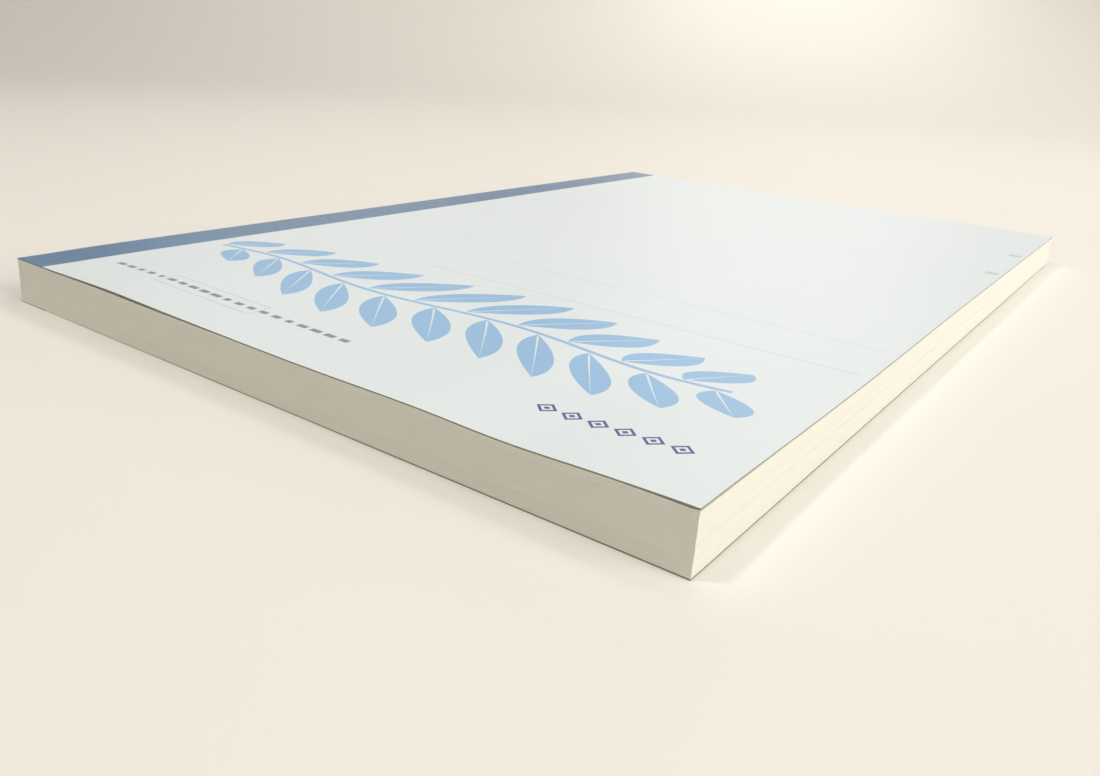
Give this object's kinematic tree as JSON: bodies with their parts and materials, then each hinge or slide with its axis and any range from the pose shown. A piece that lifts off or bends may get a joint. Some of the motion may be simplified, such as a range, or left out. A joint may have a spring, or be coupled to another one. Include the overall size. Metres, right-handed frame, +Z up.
{
  "type": "composition notebook",
  "caption": "Softcover notebook with a cloth-taped spine, a block of trimmed sheets and two card covers that open at the spine's folds.",
  "frame": {"origin": "middle of the underside, on the surface that the notebook rests on", "axes": "+X from the spine to the fore-edge, +Y from the tail to the head, +Z up through the sheets and out of the front cover"},
  "size_m": [0.179, 0.252, 0.0102],
  "materials": {
    "page_paper": "uncoated writing paper",
    "cover_card": "smooth printed card",
    "spine_cloth": "fine linen-embossed tape",
    "binding_glue": "dried adhesive"
  },
  "bodies": {
    "block": {"page_block": "page_paper", "spine_glue": "binding_glue", "spine_tape": "spine_cloth"},
    "front_cover": {"front_cover": "cover_card", "front_tape_flap": "spine_cloth"},
    "back_cover": {"back_cover": "cover_card", "back_tape_flap": "spine_cloth"}
  },
  "joints": [
    {"name": "front_cover_hinge", "type": "hinge", "parent": "block", "child": "front_cover", "pos_m": [-0.08955, 0, 0.00988], "axis": [0, -1, 0], "range_deg": [0, 182.8]},
    {"name": "back_cover_hinge", "type": "hinge", "parent": "block", "child": "back_cover", "pos_m": [-0.08955, 0, 0.00028], "axis": [0, 1, 0], "range_deg": [0, 180]}
  ]
}
